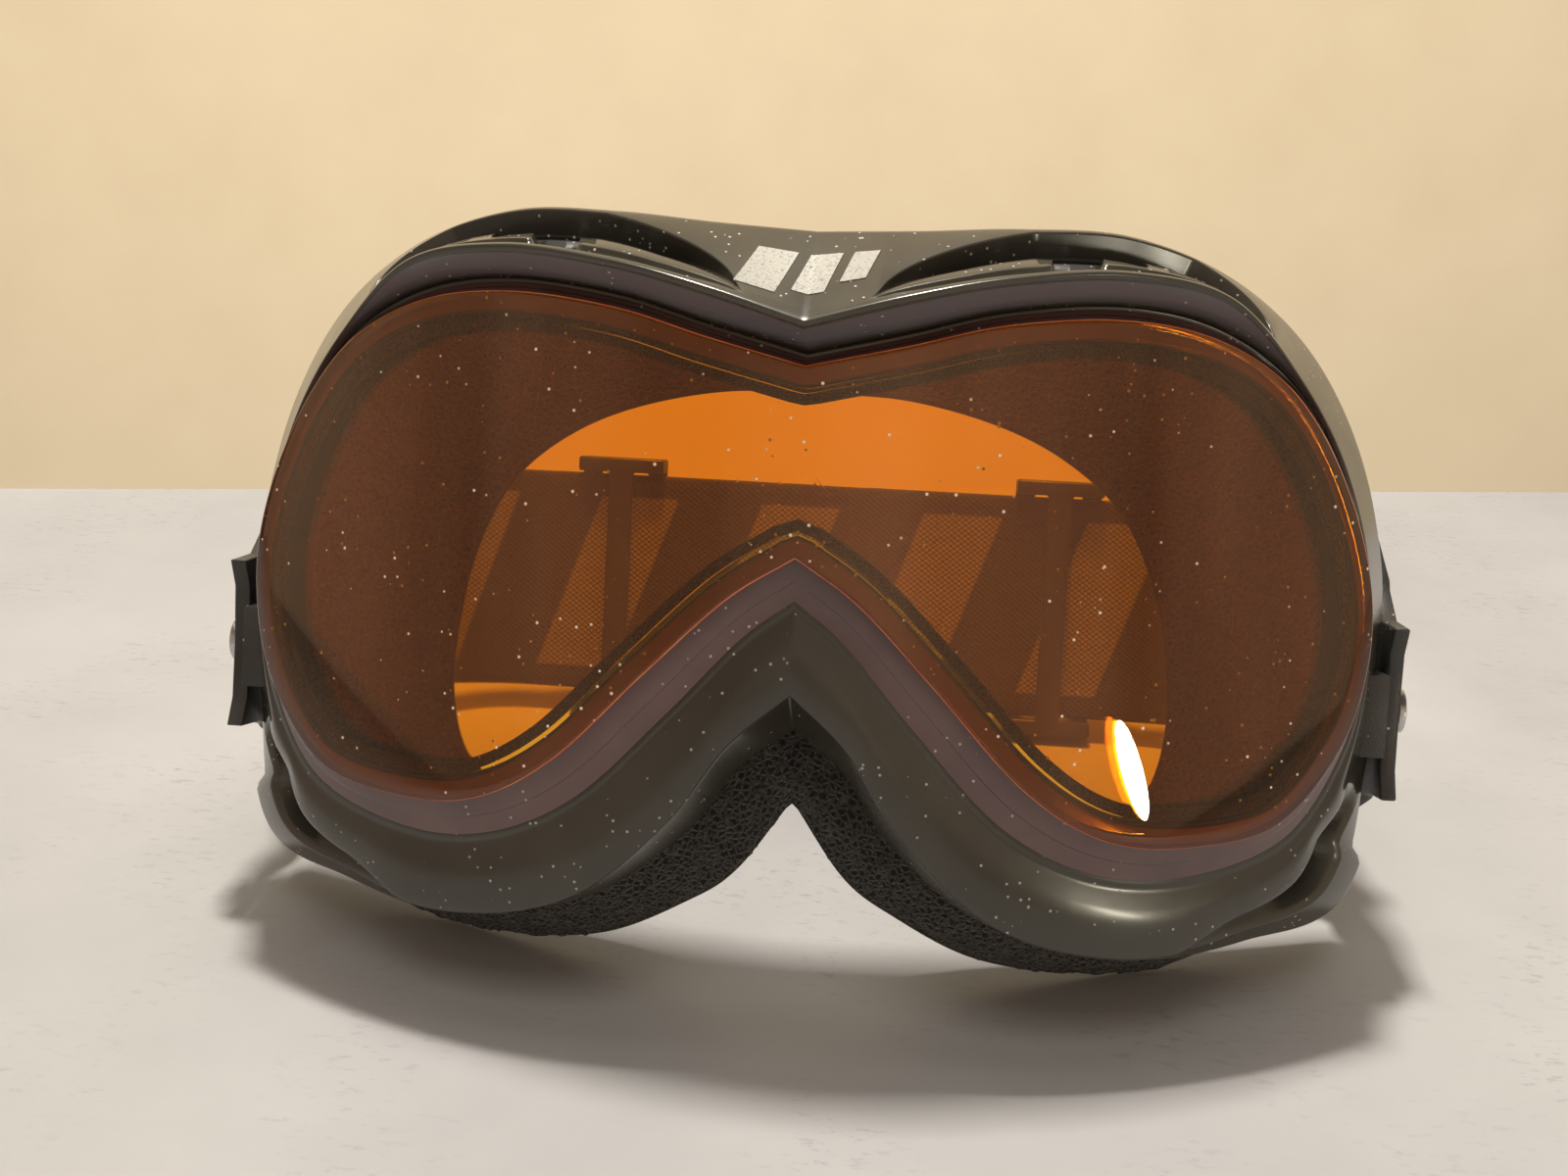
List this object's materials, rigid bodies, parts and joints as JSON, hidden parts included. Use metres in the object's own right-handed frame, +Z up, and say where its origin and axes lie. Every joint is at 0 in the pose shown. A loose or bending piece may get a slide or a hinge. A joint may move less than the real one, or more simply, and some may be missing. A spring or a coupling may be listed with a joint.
{
  "type": "sports protective goggles",
  "caption": "Wrap-round sports goggles: amber double lens in a soft vented frame with face foam, pivoting side arms and an adjustable elastic head strap.",
  "frame": {"origin": "centre of the bounding box on the table plane, with the goggles leaning back as they rest", "axes": "+X to the right seen from the front, +Y from the lens towards the strap, +Z up"},
  "size_m": [0.193, 0.1398, 0.1204],
  "materials": {
    "frame": "glossy soft moulding",
    "outer_lens": "polished amber tint",
    "inner_lens": "polished pale amber",
    "spacer": "dark closed-cell foam",
    "rim": "satin",
    "foam": "open-cell foam",
    "fleece": "short pile",
    "vent_foam": "thin open-cell foam",
    "hardware": "fine grain",
    "pin": "turned",
    "stitching": "thread",
    "webbing": "woven elastic"
  },
  "bodies": {
    "frame": {"frame_shell": "frame", "outer_lens": "outer_lens", "lens_spacer": "spacer", "inner_lens": "inner_lens", "lens_rim": "rim", "face_foam": "foam", "face_fleece": "fleece", "top_vent_foam_left": "vent_foam", "top_vent_foam_right": "vent_foam", "bottom_vent_foam_left": "vent_foam", "bottom_vent_foam_right": "vent_foam", "temple_mount_left": "hardware", "temple_mount_right": "hardware", "pivot_pin_left": "pin", "pivot_pin_right": "pin"},
    "outriggers": {"outrigger_left": "hardware", "outrigger_right": "hardware", "strap_loop_left": "webbing", "strap_loop_right": "webbing", "bartack_left": "stitching", "bartack_right": "stitching", "strap_side_left": "webbing", "strap_side_right": "webbing"},
    "strap_back": {"strap_back": "webbing", "strap_tail_left": "webbing", "strap_tail_right": "webbing"},
    "adjuster_left": {"adjuster_left": "hardware"},
    "adjuster_right": {"adjuster_right": "hardware"}
  },
  "joints": [
    {"name": "outrigger_pivot", "type": "hinge", "parent": "frame", "child": "outriggers", "pos_m": [0, -0.02709, 0.04436], "axis": [1, 0, 0], "range_deg": [0, 25]},
    {"name": "strap_stretch", "type": "slide", "parent": "outriggers", "child": "strap_back", "axis": [0, 0.9659, -0.2588], "range_m": [0, 0.05], "stiffness_N_per_m": 150, "deforming": ["strap_side_left", "strap_side_right"]},
    {"name": "adjuster_left_slide", "type": "slide", "parent": "strap_back", "child": "adjuster_left", "axis": [1, 0, 0], "range_m": [0, 0.03]},
    {"name": "adjuster_right_slide", "type": "slide", "parent": "strap_back", "child": "adjuster_right", "axis": [-1, 0, 0], "range_m": [0, 0.03]}
  ]
}
